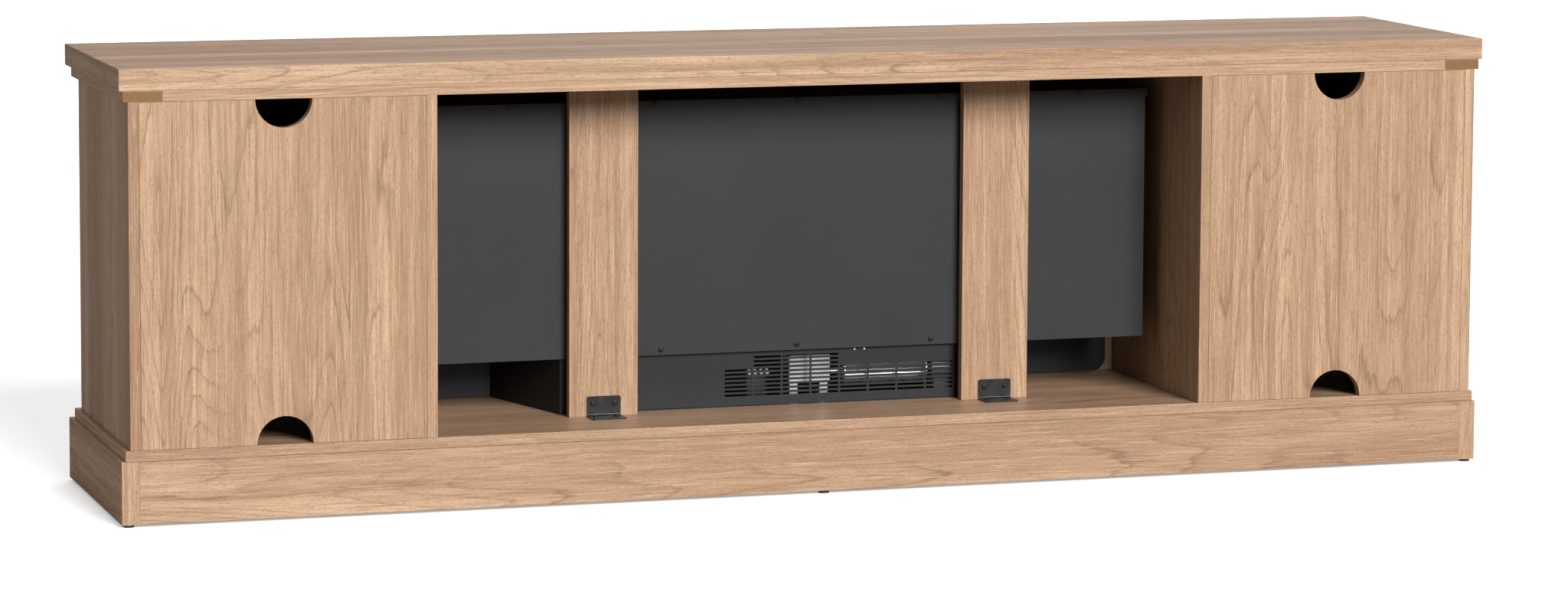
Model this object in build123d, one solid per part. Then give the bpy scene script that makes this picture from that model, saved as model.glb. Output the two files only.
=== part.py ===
"""Long low media cabinet with an electric fireplace insert in its middle bay.

Millimetres. The doors face -Y, the back faces +Y, X runs along the width, and the
origin is on the floor under the middle of the top panel. Left and right are those
of a person who stands in front of the doors, so left is -X.
"""
from math import cos, sin
import os

from build123d import *

os.makedirs("parts", exist_ok=True)

# ---- Driving sizes of the cabinet -------------------------------------------------
WIDTH = 2032.0
DEPTH = 428.0
BOARD = 15.0                    # side panels, partitions, shelves, posts, rails
TOP_THICK = 30.5
BODY_HEIGHT = 480.0             # clear height between the bottom panel and the frieze
PLINTH_HEIGHT = 88.0
PLINTH_THICK = 25.0
GLIDE_HEIGHT = 4.0
GLIDE_RADIUS = 8.0
BOARD_EDGE = 0.8                # softened arris of the edge banding
TOP_EDGE = 1.2
PLINTH_EDGE = 1.5               # rounding of the plinth's upper outer arris

# ---- Levels, from the floor up ----------------------------------------------------
Z_PLINTH = GLIDE_HEIGHT
Z_BOTTOM = Z_PLINTH + PLINTH_HEIGHT
Z_FLOOR = Z_BOTTOM + BOARD      # upper face of the bottom panel
Z_FRIEZE = Z_FLOOR + BODY_HEIGHT
Z_TOP = Z_FRIEZE + BOARD
HEIGHT = Z_TOP + TOP_THICK

# ---- Stations from back to front --------------------------------------------------
Y_BACK = DEPTH / 2
Y_FRONT = -DEPTH / 2
Y_FRIEZE_FRONT = Y_FRONT + 19
Y_BOTTOM_BACK = Y_BACK - 1
Y_BOTTOM_FRONT = Y_FRONT + 24
Y_PLINTH_BACK = Y_BACK - 3
Y_PLINTH_FRONT = Y_FRONT + 9
Y_CASE_FRONT = Y_FRONT + 43     # front edges of the side panels and partitions

# ---- Stations across the width ----------------------------------------------------
X_PLINTH = WIDTH / 2
X_BOTTOM = WIDTH / 2 - 5.5
X_FRIEZE = WIDTH / 2 - 5.5
X_SIDE = WIDTH / 2 - 12         # outer faces of the side panels
X_SIDE_INNER = X_SIDE - BOARD
X_PARTITION = 586.0             # partition face that looks to the side compartment
X_BAY = X_PARTITION - BOARD     # partition face that looks to the fireplace bay

# ---- Frieze frame between the case and the top ------------------------------------
END_STRIP_WIDTH = 54.5
BACK_RAIL_DEPTH = 150.0
FRONT_RAIL_DEPTH = 100.0

# ---- Cable cut-outs, shelves ------------------------------------------------------
CUTOUT_RADIUS = 40.0
SHELF_GAP = 1.0
SHELF_FRONT_SETBACK = 20.0
SHELF_LEVEL = 235.0             # underside of the shelf above the bottom panel
PIN_RADIUS = 2.5
PIN_DEPTH = 8.0
PIN_REACH = 9.0
PIN_PITCH = 32.0
PIN_INSET = 40.0

# ---- Posts and their angle brackets behind the fireplace --------------------------
POST_CENTRE = 297.5
POST_WIDTH = 102.0
Y_POST = 93.0                   # rear face of the posts
BRACKET_WIDTH = 50.0
BRACKET_RISE = 29.5
BRACKET_FOOT = 35.0
BRACKET_THICK = 2.0
BRACKET_CORNER = 3.0
BRACKET_BEND = 2.0              # inner radius of the fold
BRACKET_SCREW_SPACING = 32.0
BRACKET_SCREW_HEIGHT = 19.0
BRACKET_SCREW_REACH = 15.0
WOOD_SCREW_RADIUS = 2.0
WOOD_SCREW_HEAD = 3.8
WOOD_SCREW_LENGTH = 12.0
SCREW_HOLE_PLAY = 0.3
SCREW_RECESS = 0.7              # width of the cross recess

# ---- Doors ------------------------------------------------------------------------
DOOR_THICK = 16.0
DOOR_BACK_GAP = 2.0
DOOR_EDGE_INSET = 3.0
DOOR_FRAME_WIDTH = 60.0
DOOR_PANEL_THICK = 8.0
DOOR_GROOVE = 8.0
DOOR_UNDER_GAP = 5.5
DOOR_OVER_GAP = 4.0
DOOR_EDGE = 1.0
DOOR_PANEL_PLAY = 1.0
DOOR_MOUTH_BEVEL = 3.0
X_DOOR_INNER = X_BAY + 1        # extents of the right-hand door
X_DOOR_OUTER = X_SIDE - DOOR_EDGE_INSET
Y_DOOR_BACK = Y_CASE_FRONT - DOOR_BACK_GAP
Y_DOOR_FRONT = Y_DOOR_BACK - DOOR_THICK
Z_DOOR_LOW = Z_FLOOR + DOOR_UNDER_GAP
Z_DOOR_HIGH = Z_FRIEZE - DOOR_OVER_GAP
PIVOT_RADIUS = 2.5
PIVOT_CLEARANCE = 0.05
PIVOT_SOCKET = 10.0
PIVOT_END_PLAY = 0.5
PIVOT_FROM_EDGE = 6.0
PIVOT_FROM_BACK = 10.0
PIVOT_IN_DOOR = 15.0
PIVOT_COLLAR_RADIUS = 5.5
X_PIVOT = X_DOOR_OUTER - PIVOT_FROM_EDGE
Y_PIVOT = Y_DOOR_BACK - PIVOT_FROM_BACK
HANDLE_LENGTH = 160.0
HANDLE_POST_SPACING = 128.0
HANDLE_RADIUS = 4.8
HANDLE_END_ROUNDING = 1.2
HANDLE_REACH = 19.0
HANDLE_POST_RADIUS = 3.6
STRIKE_THICK = 1.0
CATCH_PROUD = 0.6

# ---- Fascia around the fireplace glass --------------------------------------------
Y_FASCIA = -134.5               # rear face of the fascia
FASCIA_STILE = 70.0
FASCIA_TOP_RAIL = 70.0
FASCIA_BOTTOM_RAIL = 45.0

# ---- Fireplace insert -------------------------------------------------------------
SHEET = 1.2
Y_REAR_PLATE = 71.5             # rear face of the wide upper plate
REAR_PLATE_HALF = 538.5
Z_REAR_PLATE = Z_FLOOR + 81.5
Z_INSERT_TOP = Z_FLOOR + 450.0
TOP_LIP = 11.0
TOP_OVERHANG = 3.0
TOP_SCREW_PITCH = 215.9
LOW_SCREW_PITCH = 205.5
PLATE_SCREW_RADIUS = 1.5
PLATE_SCREW_HEAD = 3.9
PLATE_SCREW_LENGTH = 6.0
Y_VENT = 63.5                   # rear face of the louvred lower plate
LOWER_HALF_REAR = 354.0
LOWER_HALF_FRONT = 409.0
FLANGE_THICK = 8.0
Y_FLANGE_BACK = Y_FASCIA + FLANGE_THICK
FLANGE_HALF = 557.0
FLANGE_CORNER = 20.0
FLANGE_OPENING_HALF = 505.0
GLASS_THICK = 4.0
GLASS_LAP = 10.0
GLASS_PLAY = 0.5
GLASS_HALF = FLANGE_OPENING_HALF + GLASS_LAP
Z_OPENING_LOW = Z_REAR_PLATE + 3
Z_OPENING_HIGH = Z_FRIEZE - FASCIA_TOP_RAIL + 5

# ---- Warm-air outlet in the flange, under the glass ------------------------------
OUTLET_COLUMNS = 6
OUTLET_PITCH = 66.0
OUTLET_LENGTH = 60.0
OUTLET_ROWS = 3
OUTLET_ROW_PITCH = 7.5
OUTLET_HEIGHT = 4.0
Z_FIRST_OUTLET = Z_FLOOR + 52

# ---- Louvres in the lower plate ---------------------------------------------------
SLOT_COLUMNS = 8
SLOT_COLUMN_PITCH = 44.1
SLOT_LENGTH = 40.9
SLOT_HEIGHT = 3.0
SLOT_ROW_PITCH = 6.1
SLOT_ROWS = 7
SLOT_TALL_ROWS = 10
SLOT_TALL_COLUMNS = (1, 2, 3)
X_FIRST_SLOT = 107.0            # start of the first column, which then run towards -X
Z_FIRST_SLOT = Z_FLOOR + 16.9

# ---- Heater and blower ------------------------------------------------------------
HEATER_LEFT = -58.0
HEATER_RIGHT = 4.0
Y_HEATER_BACK = 48.0
Y_HEATER_FRONT = 8.0
Z_HEATER = Z_FLOOR + 30.0
HEATER_HEIGHT = 39.0
BLOWER_RADIUS = 20.0
BLOWER_LEFT = -206.0
BLOWER_RIGHT = -78.0
BLOWER_BLADES = 24
BLOWER_DISC = 2.0
HEATER_FINS = 9
HEATER_FIN_PITCH = 5.0
Y_BLOWER = 37.0
Z_BLOWER = Z_FLOOR + 43.0
SHAFT_RADIUS = 2.5
SHAFT_CLEARANCE = 0.05
MOTOR_RADIUS = 21.0
MOTOR_LENGTH = 36.0

# ---- Flame unit -------------------------------------------------------------------
Y_FLAME_SCREEN = -62.0
Y_SPINDLE = -25.0
Z_SPINDLE = Z_REAR_PLATE + 38.0
SPINDLE_HALF = 470.0
SPINDLE_FLAG_RADIUS = 18.0
SPINDLE_MOTOR_RADIUS = 24.0
SPINDLE_MOTOR_LENGTH = 22.0
SPINDLE_FLAGS = 22
EMBER_BED_HALF = 480.0
EMBER_BED_HEIGHT = 14.0
LOGS_EACH_SIDE = 6              # beside the middle log
LOG_PITCH = 68.0

SIDES = {"left": -1, "right": 1}


# ---- Helpers ----------------------------------------------------------------------
def block(x0, x1, y0, y1, z0, z1):
    """Box from its extents, in any order."""
    size = (abs(x1 - x0), abs(y1 - y0), abs(z1 - z0))
    return Pos((x0 + x1) / 2, (y0 + y1) / 2, (z0 + z1) / 2) * Box(*size)


def board(x0, x1, y0, y1, z0, z1, edge=BOARD_EDGE):
    """Laminated board whose arrises are softened."""
    plain = block(x0, x1, y0, y1, z0, z1)
    return fillet(plain.edges(), edge)


def rod_x(x0, x1, y, z, radius):
    return Pos((x0 + x1) / 2, y, z) * Rot(0, 90, 0) * Cylinder(radius, abs(x1 - x0))


def rod_y(x, y0, y1, z, radius):
    return Pos(x, (y0 + y1) / 2, z) * Rot(90, 0, 0) * Cylinder(radius, abs(y1 - y0))


def rod_z(x, y, z0, z1, radius):
    return Pos(x, y, (z0 + z1) / 2) * Cylinder(radius, abs(z1 - z0))


def handed(piece, side):
    """A right-hand piece as it is, or its mirror image for the left."""
    return piece if side > 0 else mirror(piece, about=Plane.YZ)


def save(node, pieces):
    """Write one node; a list of pieces stays a group of separate solids."""
    solids = []
    for piece in pieces if isinstance(pieces, list) else [pieces]:
        solids.extend(piece.solids())
    shape = solids[0] if len(solids) == 1 else Compound(children=solids)
    export_step(shape, f"parts/{node}.step")


# ---- Top and frieze ---------------------------------------------------------------
def top_panel():
    half = WIDTH / 2
    return board(-half, half, Y_FRONT, Y_BACK, Z_TOP, HEIGHT, edge=TOP_EDGE)


def frieze_end_strip(side):
    inner = X_FRIEZE - END_STRIP_WIDTH
    strip = board(side * inner, side * X_FRIEZE, Y_FRIEZE_FRONT, Y_BACK, Z_FRIEZE, Z_TOP)
    return strip - pivot_socket(side, Z_FRIEZE, Z_FRIEZE + PIVOT_SOCKET)


def frieze_back_rail():
    half = X_FRIEZE - END_STRIP_WIDTH
    return board(-half, half, Y_BACK - BACK_RAIL_DEPTH, Y_BACK, Z_FRIEZE, Z_TOP)


def frieze_front_rail():
    half = X_FRIEZE - END_STRIP_WIDTH
    return board(-half, half, Y_FRIEZE_FRONT, Y_FRIEZE_FRONT + FRONT_RAIL_DEPTH, Z_FRIEZE, Z_TOP)


def frieze_cross_strip(side):
    centre = (X_PARTITION + X_BAY) / 2
    inner = side * (centre - END_STRIP_WIDTH / 2)
    outer = side * (centre + END_STRIP_WIDTH / 2)
    front = Y_FRIEZE_FRONT + FRONT_RAIL_DEPTH
    return board(inner, outer, front, Y_BACK - BACK_RAIL_DEPTH, Z_FRIEZE, Z_TOP)


# ---- Case -------------------------------------------------------------------------
def pin_holes(face, direction):
    """Shelf pin holes bored into a board from the face at x = face."""
    back = Y_BACK - BOARD - PIN_INSET
    front = Y_CASE_FRONT + PIN_INSET
    level = Z_FLOOR + SHELF_LEVEL - PIN_RADIUS
    holes = []
    for y in (back, front):
        for step in (-1, 0, 1):
            z = level + step * PIN_PITCH
            holes.append(rod_x(face, face + direction * PIN_DEPTH, y, z, PIN_RADIUS))
    return holes


def side_panel(side):
    panel = board(side * X_SIDE_INNER, side * X_SIDE, Y_CASE_FRONT, Y_BACK, Z_FLOOR, Z_FRIEZE)
    return panel - pin_holes(side * X_SIDE_INNER, side)


def partition(side):
    panel = board(side * X_BAY, side * X_PARTITION, Y_CASE_FRONT, Y_BACK, Z_FLOOR, Z_FRIEZE)
    return panel - pin_holes(side * X_PARTITION, -side)


def back_panel(side):
    """Panel between side and partition with a half-round cable cut-out up and down."""
    panel = board(side * X_PARTITION, side * X_SIDE_INNER, Y_BACK - BOARD, Y_BACK, Z_FLOOR, Z_FRIEZE)
    centre = side * (X_PARTITION + X_SIDE_INNER) / 2
    for z in (Z_FLOOR, Z_FRIEZE):
        panel -= rod_y(centre, Y_BACK - BOARD - 1, Y_BACK + 1, z, CUTOUT_RADIUS)
    return panel


def pivot_socket(side, z0, z1):
    """Blind hole that a door's pivot pin turns in."""
    return rod_z(side * X_PIVOT, Y_PIVOT, z0, z1, PIVOT_RADIUS + PIVOT_CLEARANCE)


def bottom_panel():
    panel = board(-X_BOTTOM, X_BOTTOM, Y_BOTTOM_FRONT, Y_BOTTOM_BACK, Z_BOTTOM, Z_FLOOR)
    for side in SIDES.values():
        panel -= pivot_socket(side, Z_FLOOR - PIVOT_SOCKET, Z_FLOOR)
    return panel


def shelf(side):
    inner = side * (X_PARTITION + SHELF_GAP)
    outer = side * (X_SIDE_INNER - SHELF_GAP)
    z = Z_FLOOR + SHELF_LEVEL
    front = Y_CASE_FRONT + SHELF_FRONT_SETBACK
    return board(inner, outer, front, Y_BACK - BOARD - SHELF_GAP, z, z + BOARD)


def shelf_pins():
    pins = []
    z = Z_FLOOR + SHELF_LEVEL - PIN_RADIUS
    for side in SIDES.values():
        for y in (Y_BACK - BOARD - PIN_INSET, Y_CASE_FRONT + PIN_INSET):
            for face, way in ((X_PARTITION, 1), (X_SIDE_INNER, -1)):
                start = side * (face - way * (PIN_DEPTH - 0.5))
                end = side * (face + way * PIN_REACH)
                pins.append(rod_x(start, end, y, z, PIN_RADIUS))
    return pins


# ---- Plinth -----------------------------------------------------------------------
def plinth_side(side):
    """Side board of the plinth, mitred at the front."""
    outer = X_PLINTH
    inner = X_PLINTH - PLINTH_THICK
    outline = Polyline(
        (outer, Y_PLINTH_BACK),
        (outer, Y_PLINTH_FRONT),
        (inner, Y_PLINTH_FRONT + PLINTH_THICK),
        (inner, Y_PLINTH_BACK),
        close=True,
    )
    body = extrude(Pos(0, 0, Z_PLINTH) * make_face(outline), PLINTH_HEIGHT)
    body = fillet(body.edges().filter_by(Axis.Z).group_by(Axis.Y)[-1], BOARD_EDGE)
    crown = body.edges().group_by(Axis.Z)[-1].filter_by(Axis.Y).group_by(Axis.X)[-1]
    body = fillet(crown, PLINTH_EDGE)
    return handed(body, side)


def plinth_front():
    """Front board of the plinth, mitred at both ends."""
    outer = X_PLINTH
    inner = X_PLINTH - PLINTH_THICK
    outline = Polyline(
        (-outer, Y_PLINTH_FRONT),
        (outer, Y_PLINTH_FRONT),
        (inner, Y_PLINTH_FRONT + PLINTH_THICK),
        (-inner, Y_PLINTH_FRONT + PLINTH_THICK),
        close=True,
    )
    body = extrude(Pos(0, 0, Z_PLINTH) * make_face(outline), PLINTH_HEIGHT)
    crown = body.edges().group_by(Axis.Z)[-1].filter_by(Axis.X).group_by(Axis.Y)[0]
    return fillet(crown, PLINTH_EDGE)


def plinth_back():
    half = X_PLINTH - PLINTH_THICK
    return board(-half, half, Y_PLINTH_BACK - PLINTH_THICK, Y_PLINTH_BACK, Z_PLINTH, Z_BOTTOM)


def plinth_centre_rail():
    half = PLINTH_THICK / 2
    front = Y_PLINTH_FRONT + PLINTH_THICK
    return board(-half, half, front, Y_PLINTH_BACK - PLINTH_THICK, Z_PLINTH, Z_BOTTOM)


def glides():
    pads = []
    for x in (-X_PLINTH + 11, 0, X_PLINTH - 11):
        for y in (Y_PLINTH_FRONT + 12, Y_PLINTH_BACK - 11):
            pad = rod_z(x, y, 0, GLIDE_HEIGHT, GLIDE_RADIUS)
            pads.append(fillet(pad.edges().group_by(Axis.Z)[0], 1.0))
    return pads


# ---- Posts and brackets behind the fireplace --------------------------------------
def post(side):
    x0 = side * (POST_CENTRE - POST_WIDTH / 2)
    x1 = side * (POST_CENTRE + POST_WIDTH / 2)
    return board(x0, x1, Y_POST - BOARD, Y_POST, Z_FLOOR, Z_FRIEZE)


def bracket_screw_places(side):
    """(x, y, z, axis) of the head seat of each screw of one bracket."""
    places = []
    for way in (-1, 1):
        x = side * POST_CENTRE + way * BRACKET_SCREW_SPACING / 2
        places.append((x, Y_POST + BRACKET_THICK, Z_FLOOR + BRACKET_SCREW_HEIGHT, "y"))
        places.append((x, Y_POST + BRACKET_SCREW_REACH, Z_FLOOR + BRACKET_THICK, "z"))
    return places


def post_bracket(side):
    """Sheet-steel angle with a bent corner and rounded free corners."""
    x0 = side * POST_CENTRE - BRACKET_WIDTH / 2
    x1 = side * POST_CENTRE + BRACKET_WIDTH / 2
    y_inner = Y_POST + BRACKET_THICK
    z_inner = Z_FLOOR + BRACKET_THICK
    rise = block(x0, x1, Y_POST, y_inner, Z_FLOOR, Z_FLOOR + BRACKET_RISE)
    rise = fillet(rise.edges().filter_by(Axis.Y).group_by(Axis.Z)[-1], BRACKET_CORNER)
    foot = block(x0, x1, Y_POST, Y_POST + BRACKET_FOOT, Z_FLOOR, z_inner)
    foot = fillet(foot.edges().filter_by(Axis.Z).group_by(Axis.Y)[-1], BRACKET_CORNER)
    bend = block(x0, x1, y_inner, y_inner + BRACKET_BEND, z_inner, z_inner + BRACKET_BEND)
    bend -= rod_x(x0, x1, y_inner + BRACKET_BEND, z_inner + BRACKET_BEND, BRACKET_BEND)
    angle = rise + foot + bend
    hole = WOOD_SCREW_RADIUS + SCREW_HOLE_PLAY
    for sx, sy, sz, axis in bracket_screw_places(side):
        if axis == "y":
            angle -= rod_y(sx, sy - BRACKET_THICK, sy, sz, hole)
        else:
            angle -= rod_z(sx, sy, sz - BRACKET_THICK, sz, hole)
    return angle


def pan_head(radius, height):
    """Domed screw head with a cross recess, seated at the origin, outwards along +Z."""
    head = Pos(0, 0, height / 2) * Cylinder(radius, height)
    head = fillet(head.edges().group_by(Axis.Z)[-1], height * 0.7)
    recess = Pos(0, 0, height) * (Box(radius, SCREW_RECESS, height) + Box(SCREW_RECESS, radius, height))
    return head - recess


def bracket_screws():
    screws = []
    for side in SIDES.values():
        for x, y, z, axis in bracket_screw_places(side):
            shank = Pos(0, 0, -WOOD_SCREW_LENGTH / 2) * Cylinder(WOOD_SCREW_RADIUS, WOOD_SCREW_LENGTH)
            screw = pan_head(WOOD_SCREW_HEAD, 2.0) + shank
            turn = Rot(-90, 0, 0) if axis == "y" else Rot(0, 0, 20)
            screws.append(Pos(x, y, z) * turn * screw)
    return screws


def drill_for_bracket(piece, side, axis):
    """Pilot holes of one bracket's screws in the board behind it."""
    length = WOOD_SCREW_LENGTH
    for x, y, z, way in bracket_screw_places(side):
        if way != axis:
            continue
        if axis == "y":
            piece -= rod_y(x, y - length, y, z, WOOD_SCREW_RADIUS)
        else:
            piece -= rod_z(x, y, z - length, z, WOOD_SCREW_RADIUS)
    return piece


# ---- Doors ------------------------------------------------------------------------
def door_leaf(inset):
    """Slab in the middle of a right-hand door's thickness, inset from the door's edges."""
    middle = (Y_DOOR_FRONT + Y_DOOR_BACK) / 2
    half = DOOR_PANEL_THICK / 2
    return block(X_DOOR_INNER + inset, X_DOOR_OUTER - inset, middle - half, middle + half,
                 Z_DOOR_LOW + inset, Z_DOOR_HIGH - inset)


def door_frame(side):
    """Stiles and rails with a bevelled mouth and a groove that holds the panel."""
    x0 = X_DOOR_INNER + DOOR_FRAME_WIDTH
    x1 = X_DOOR_OUTER - DOOR_FRAME_WIDTH
    z0 = Z_DOOR_LOW + DOOR_FRAME_WIDTH
    z1 = Z_DOOR_HIGH - DOOR_FRAME_WIDTH
    frame = board(X_DOOR_INNER, X_DOOR_OUTER, Y_DOOR_FRONT, Y_DOOR_BACK, Z_DOOR_LOW, Z_DOOR_HIGH,
                  edge=DOOR_EDGE)
    frame -= block(x0, x1, Y_DOOR_FRONT - 1, Y_DOOR_BACK + 1, z0, z1)
    front = frame.edges().group_by(Axis.Y)[0]
    mouth = front.filter_by_position(Axis.X, x0 - 1, x1 + 1).filter_by_position(Axis.Z, z0 - 1, z1 + 1)
    frame = chamfer(mouth, DOOR_MOUTH_BEVEL)
    frame -= door_leaf(DOOR_FRAME_WIDTH - DOOR_GROOVE)
    frame -= rod_z(X_PIVOT, Y_PIVOT, Z_DOOR_LOW, Z_DOOR_LOW + PIVOT_IN_DOOR, PIVOT_RADIUS)
    frame -= rod_z(X_PIVOT, Y_PIVOT, Z_DOOR_HIGH - PIVOT_IN_DOOR, Z_DOOR_HIGH, PIVOT_RADIUS)
    return handed(frame, side)


def door_panel(side):
    return handed(door_leaf(DOOR_FRAME_WIDTH - DOOR_GROOVE + DOOR_PANEL_PLAY), side)


def door_handle(side):
    """Bar pull on two posts."""
    x = X_DOOR_INNER + DOOR_FRAME_WIDTH / 2
    y = Y_DOOR_FRONT - HANDLE_REACH
    z = (Z_DOOR_LOW + Z_DOOR_HIGH) / 2
    bar = rod_z(x, y, z - HANDLE_LENGTH / 2, z + HANDLE_LENGTH / 2, HANDLE_RADIUS)
    bar = fillet(bar.edges(), HANDLE_END_ROUNDING)
    for way in (-1, 1):
        bar += rod_y(x, y, Y_DOOR_FRONT, z + way * HANDLE_POST_SPACING / 2, HANDLE_POST_RADIUS)
    return handed(bar, side)


def door_pivots(side):
    """Lower pin with its bearing collar, and upper pin."""
    pin_low = Z_FLOOR - PIVOT_SOCKET + PIVOT_END_PLAY
    pin_high = Z_FRIEZE + PIVOT_SOCKET - PIVOT_END_PLAY
    lower = rod_z(X_PIVOT, Y_PIVOT, pin_low, Z_DOOR_LOW + PIVOT_IN_DOOR, PIVOT_RADIUS)
    lower += rod_z(X_PIVOT, Y_PIVOT, Z_FLOOR, Z_DOOR_LOW, PIVOT_COLLAR_RADIUS)
    upper = rod_z(X_PIVOT, Y_PIVOT, Z_DOOR_HIGH - PIVOT_IN_DOOR, pin_high, PIVOT_RADIUS)
    return [handed(lower, side), handed(upper, side)]


def door_strike(side):
    """Steel plate that the magnetic catch pulls."""
    plate = block(X_PARTITION + 3, X_PARTITION + 21, Y_DOOR_BACK, Y_DOOR_BACK + STRIKE_THICK,
                  Z_FRIEZE - 46, Z_FRIEZE - 16)
    return handed(plate, side)


def magnetic_catch(side):
    """Catch screwed to the partition, its magnet just behind the strike."""
    body = block(X_PARTITION, X_PARTITION + 16, Y_CASE_FRONT - CATCH_PROUD, Y_CASE_FRONT + 26,
                 Z_FRIEZE - 44, Z_FRIEZE - 18)
    body = fillet(body.edges().filter_by(Axis.Y), 2.0)
    return handed(body, side)


# ---- Fascia -----------------------------------------------------------------------
def fascia_stile(side):
    inner = side * (X_BAY - FASCIA_STILE)
    return board(inner, side * X_BAY, Y_FASCIA - BOARD, Y_FASCIA, Z_FLOOR, Z_FRIEZE)


def fascia_top_rail():
    half = X_BAY - FASCIA_STILE
    return board(-half, half, Y_FASCIA - BOARD, Y_FASCIA, Z_FRIEZE - FASCIA_TOP_RAIL, Z_FRIEZE)


def fascia_bottom_rail():
    half = X_BAY - FASCIA_STILE
    return board(-half, half, Y_FASCIA - BOARD, Y_FASCIA, Z_FLOOR, Z_FLOOR + FASCIA_BOTTOM_RAIL)


# ---- Insert: sheet-metal casing ---------------------------------------------------
def plate_screw_places():
    """(x, y, z) of the seat of each screw on the back of the insert."""
    places = []
    for k in range(-2, 3):
        places.append((k * TOP_SCREW_PITCH, Y_REAR_PLATE + SHEET, Z_INSERT_TOP - 4.5))
    for k in (-1, 0, 1):
        places.append((k * LOW_SCREW_PITCH, Y_REAR_PLATE, Z_REAR_PLATE + 8.0))
    return places


def insert_rear_plate():
    """Wide flat plate that closes the flame unit from behind."""
    top = Z_INSERT_TOP - SHEET
    plate = block(-REAR_PLATE_HALF, REAR_PLATE_HALF, Y_REAR_PLATE - SHEET, Y_REAR_PLATE, Z_REAR_PLATE, top)
    for x, y, z in plate_screw_places():
        plate -= rod_y(x, Y_REAR_PLATE - SHEET, Y_REAR_PLATE, z, PLATE_SCREW_RADIUS)
    return plate


def insert_top_cover():
    """Lid with a down-turned lip at the back and at both sides."""
    half = REAR_PLATE_HALF + TOP_OVERHANG
    back = Y_REAR_PLATE + SHEET
    lip = Z_INSERT_TOP - TOP_LIP
    lid = block(-half, half, Y_FLANGE_BACK, back, Z_INSERT_TOP - SHEET, Z_INSERT_TOP)
    lid += block(-half, half, Y_REAR_PLATE, back, lip, Z_INSERT_TOP)
    for side in SIDES.values():
        lid += block(side * (half - SHEET), side * half, Y_FLANGE_BACK, back, lip, Z_INSERT_TOP)
    for x, y, z in plate_screw_places()[:5]:
        lid -= rod_y(x, Y_REAR_PLATE, back, z, PLATE_SCREW_RADIUS)
    return lid


def insert_side(side):
    outer = REAR_PLATE_HALF
    inner = outer - SHEET
    wall = block(side * inner, side * outer, Y_FLANGE_BACK, Y_REAR_PLATE - SHEET,
                 Z_REAR_PLATE, Z_INSERT_TOP - SHEET)
    if side > 0:
        wall -= rod_x(inner, outer, Y_SPINDLE, Z_SPINDLE, SHAFT_RADIUS + SHAFT_CLEARANCE)
    return wall


def insert_deck():
    """Floor of the flame unit and roof of the lower housing."""
    half = REAR_PLATE_HALF - SHEET
    return block(-half, half, Y_FLANGE_BACK, Y_REAR_PLATE - SHEET, Z_REAR_PLATE, Z_REAR_PLATE + SHEET)


def lower_half_width(y):
    """Half width of the tapered lower housing at station y."""
    share = (Y_VENT - y) / (Y_VENT - Y_FLANGE_BACK)
    return LOWER_HALF_REAR + share * (LOWER_HALF_FRONT - LOWER_HALF_REAR)


def lower_wall(side):
    """Side wall of the lower housing; it spreads towards the front."""
    rear = Y_VENT - SHEET
    a = lower_half_width(rear)
    b = lower_half_width(Y_FLANGE_BACK)
    outline = Polyline((a, rear), (b, Y_FLANGE_BACK), (b - SHEET, Y_FLANGE_BACK), (a - SHEET, rear),
                       close=True)
    z0 = Z_FLOOR + SHEET
    wall = extrude(Pos(0, 0, z0) * make_face(outline), Z_REAR_PLATE - z0)
    return handed(wall, side)


def insert_base_plate():
    """Floor of the lower housing, standing on the bottom panel."""
    rear = Y_VENT - SHEET
    a = lower_half_width(rear)
    b = lower_half_width(Y_FLANGE_BACK)
    outline = Polyline((-a, rear), (a, rear), (b, Y_FLANGE_BACK), (-b, Y_FLANGE_BACK), close=True)
    return extrude(Pos(0, 0, Z_FLOOR) * make_face(outline), SHEET)


def slot_places():
    """Centre (x, z) of each louvre slot."""
    places = []
    for column in range(SLOT_COLUMNS):
        x = X_FIRST_SLOT - column * SLOT_COLUMN_PITCH - SLOT_LENGTH / 2
        rows = SLOT_TALL_ROWS if column in SLOT_TALL_COLUMNS else SLOT_ROWS
        for row in range(rows):
            places.append((x, Z_FIRST_SLOT + row * SLOT_ROW_PITCH))
    return places


def insert_vent_plate():
    """Narrow lower plate with its rows of ventilation slots."""
    half = LOWER_HALF_REAR
    plate = block(-half, half, Y_VENT - SHEET, Y_VENT, Z_FLOOR + 2, Z_REAR_PLATE)
    slots = [block(x - SLOT_LENGTH / 2, x + SLOT_LENGTH / 2, Y_VENT - SHEET, Y_VENT,
                   z - SLOT_HEIGHT / 2, z + SLOT_HEIGHT / 2) for x, z in slot_places()]
    return plate - slots


def insert_screws():
    screws = []
    for x, y, z in plate_screw_places():
        shank = Pos(0, 0, -PLATE_SCREW_LENGTH / 2) * Cylinder(PLATE_SCREW_RADIUS, PLATE_SCREW_LENGTH)
        screw = pan_head(PLATE_SCREW_HEAD, 2.2) + shank
        screws.append(Pos(x, y, z) * Rot(-90, 0, 0) * Rot(0, 0, x % 90) * screw)
    return screws


# ---- Insert: front ----------------------------------------------------------------
def outlet_slots():
    """Slots that let the warm air out under the glass."""
    slots = []
    for column in range(OUTLET_COLUMNS):
        x = (column - (OUTLET_COLUMNS - 1) / 2) * OUTLET_PITCH
        for row in range(OUTLET_ROWS):
            z = Z_FIRST_OUTLET + row * OUTLET_ROW_PITCH
            slots.append(block(x - OUTLET_LENGTH / 2, x + OUTLET_LENGTH / 2, Y_FASCIA, Y_FLANGE_BACK,
                               z - OUTLET_HEIGHT / 2, z + OUTLET_HEIGHT / 2))
    return slots


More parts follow.
